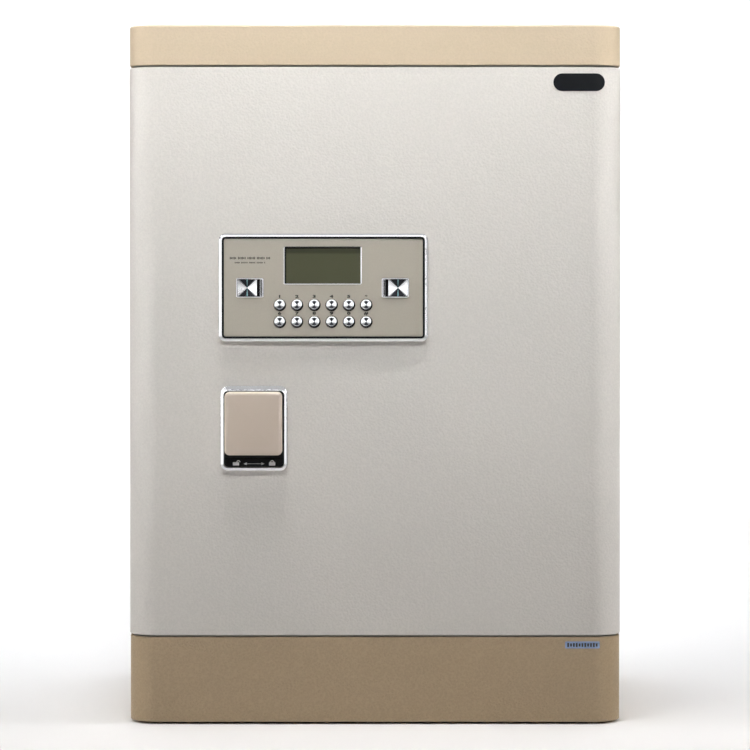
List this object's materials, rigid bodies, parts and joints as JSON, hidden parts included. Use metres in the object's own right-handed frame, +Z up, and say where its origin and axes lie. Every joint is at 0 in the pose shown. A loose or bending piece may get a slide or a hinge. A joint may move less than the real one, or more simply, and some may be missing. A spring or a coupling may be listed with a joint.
{
  "type": "in-room safe",
  "caption": "Floor-standing electronic in-room safe: champagne base and cap, full-width pale door, chrome keypad panel, square turning handle, live bolt work.",
  "frame": {"origin": "on the floor, under the centre of the bounding box", "axes": "+X to the right seen from the front, -Y out of the door's front, +Z up"},
  "size_m": [0.424, 0.404, 0.6],
  "materials": {
    "door_paint": "pale warm-grey powder coat with a fine leather texture",
    "champagne_paint": "champagne powder coat with a fine leather texture",
    "cabinet_steel": "smooth grey enamel",
    "zinc_steel": "zinc-plated machined steel",
    "chrome": "polished chrome, radially brushed on the flap and key faces",
    "beige_plastic": "champagne-beige satin plastic",
    "black_plastic": "black plastic",
    "lcd_glass": "unlit olive-grey display behind a clear cover",
    "circuit_board": "green solder mask",
    "brass": "turned brass",
    "rubber": "matt black rubber",
    "felt": "dark grey felt"
  },
  "bodies": {
    "cabinet": {"base_plinth": "champagne_paint", "bottom_plate": "cabinet_steel", "top_plate": "cabinet_steel", "top_cap": "champagne_paint", "wall_left": "door_paint", "wall_right": "door_paint", "wall_back": "door_paint", "door_frame": "door_paint", "hinge_pin_top": "zinc_steel", "hinge_pin_bottom": "zinc_steel", "floor_mat": "felt", "shelf": "cabinet_steel", "shelf_rail_left": "cabinet_steel", "shelf_rail_right": "cabinet_steel", "foot_front_left": "rubber", "foot_front_right": "rubber", "foot_rear_left": "rubber", "foot_rear_right": "rubber"},
    "door": {"door_skin": "door_paint", "door_plate": "door_paint", "inner_cover": "door_paint", "battery_box": "black_plastic", "hinge_bush_top": "brass", "hinge_bush_bottom": "brass", "keypad_bezel": "chrome", "keypad_fascia": "beige_plastic", "keypad_housing": "black_plastic", "keypad_pcb": "circuit_board", "lcd_module": "black_plastic", "lcd_lens": "lcd_glass", "handle_bezel": "chrome", "handle_backplate": "black_plastic", "solenoid_body": "zinc_steel", "key_cylinder": "zinc_steel", "power_socket": "black_plastic"},
    "handle": {"handle_pad": "beige_plastic", "cam_spindle": "zinc_steel"},
    "bolt_work": {"bolt_carriage": "zinc_steel", "bolt_top": "zinc_steel", "bolt_middle": "zinc_steel", "bolt_bottom": "zinc_steel"},
    "top_rod": {"rod_top": "zinc_steel"},
    "bottom_rod": {"rod_bottom": "zinc_steel"},
    "plunger": {"solenoid_plunger": "zinc_steel"},
    "lock_plug": {"cylinder_plug": "brass"},
    "left_flap": {"cover_left": "chrome"},
    "right_flap": {"cover_right": "chrome"},
    "battery_lid": {"battery_cover": "black_plastic"},
    "button_1": {"key_1": "chrome"},
    "button_2": {"key_2": "chrome"},
    "button_3": {"key_3": "chrome"},
    "button_4": {"key_4": "chrome"},
    "button_5": {"key_5": "chrome"},
    "button_star": {"key_star": "chrome"},
    "button_6": {"key_6": "chrome"},
    "button_7": {"key_7": "chrome"},
    "button_8": {"key_8": "chrome"},
    "button_9": {"key_9": "chrome"},
    "button_0": {"key_0": "chrome"},
    "button_hash": {"key_hash": "chrome"}
  },
  "joints": [
    {"name": "door_hinge", "type": "hinge", "parent": "cabinet", "child": "door", "pos_m": [0.187, -0.153, 0.32035], "axis": [0, 0, 1], "range_deg": [0, 110]},
    {"name": "handle_turn", "type": "hinge", "parent": "door", "child": "handle", "pos_m": [-0.1037, -0.202, 0.2594], "axis": [0, 1, 0], "range_deg": [-70, 0]},
    {"name": "bolt_throw", "type": "slide", "parent": "door", "child": "bolt_work", "axis": [-1, 0, 0], "range_m": [0, 0.02]},
    {"name": "top_rod_lift", "type": "slide", "parent": "door", "child": "top_rod", "axis": [0, 0, 1], "range_m": [0, 0.02]},
    {"name": "bottom_rod_drop", "type": "slide", "parent": "door", "child": "bottom_rod", "axis": [0, 0, -1], "range_m": [0, 0.02]},
    {"name": "solenoid_plunge", "type": "slide", "parent": "door", "child": "plunger", "axis": [0, 0, -1], "range_m": [0, 0.008]},
    {"name": "plug_turn", "type": "hinge", "parent": "door", "child": "lock_plug", "pos_m": [-0.107, -0.1842, 0.3751], "axis": [0, 1, 0], "range_deg": [0, 90]},
    {"name": "left_flap_hinge", "type": "hinge", "parent": "door", "child": "left_flap", "pos_m": [-0.119, -0.1852, 0.3751], "axis": [0, 0, -1], "range_deg": [0, 95]},
    {"name": "right_flap_hinge", "type": "hinge", "parent": "door", "child": "right_flap", "pos_m": [0.0294, -0.1852, 0.3751], "axis": [0, 0, 1], "range_deg": [0, 95]},
    {"name": "battery_lid_hinge", "type": "hinge", "parent": "door", "child": "battery_lid", "pos_m": [0.049, -0.0912, 0.338], "axis": [-1, 0, 0], "range_deg": [0, 100]},
    {"name": "press_1", "type": "slide", "parent": "door", "child": "button_1", "axis": [0, 1, 0], "range_m": [0, 0.001], "stiffness_N_per_m": 1500},
    {"name": "press_2", "type": "slide", "parent": "door", "child": "button_2", "axis": [0, 1, 0], "range_m": [0, 0.001], "stiffness_N_per_m": 1500},
    {"name": "press_3", "type": "slide", "parent": "door", "child": "button_3", "axis": [0, 1, 0], "range_m": [0, 0.001], "stiffness_N_per_m": 1500},
    {"name": "press_4", "type": "slide", "parent": "door", "child": "button_4", "axis": [0, 1, 0], "range_m": [0, 0.001], "stiffness_N_per_m": 1500},
    {"name": "press_5", "type": "slide", "parent": "door", "child": "button_5", "axis": [0, 1, 0], "range_m": [0, 0.001], "stiffness_N_per_m": 1500},
    {"name": "press_star", "type": "slide", "parent": "door", "child": "button_star", "axis": [0, 1, 0], "range_m": [0, 0.001], "stiffness_N_per_m": 1500},
    {"name": "press_6", "type": "slide", "parent": "door", "child": "button_6", "axis": [0, 1, 0], "range_m": [0, 0.001], "stiffness_N_per_m": 1500},
    {"name": "press_7", "type": "slide", "parent": "door", "child": "button_7", "axis": [0, 1, 0], "range_m": [0, 0.001], "stiffness_N_per_m": 1500},
    {"name": "press_8", "type": "slide", "parent": "door", "child": "button_8", "axis": [0, 1, 0], "range_m": [0, 0.001], "stiffness_N_per_m": 1500},
    {"name": "press_9", "type": "slide", "parent": "door", "child": "button_9", "axis": [0, 1, 0], "range_m": [0, 0.001], "stiffness_N_per_m": 1500},
    {"name": "press_0", "type": "slide", "parent": "door", "child": "button_0", "axis": [0, 1, 0], "range_m": [0, 0.001], "stiffness_N_per_m": 1500},
    {"name": "press_hash", "type": "slide", "parent": "door", "child": "button_hash", "axis": [0, 1, 0], "range_m": [0, 0.001], "stiffness_N_per_m": 1500}
  ],
  "couplings": [
    {"joint": "bolt_throw", "follows": "handle_turn", "m_per_rad": -0.016338},
    {"joint": "top_rod_lift", "follows": "handle_turn", "m_per_rad": -0.016338},
    {"joint": "bottom_rod_drop", "follows": "handle_turn", "m_per_rad": -0.016338}
  ]
}
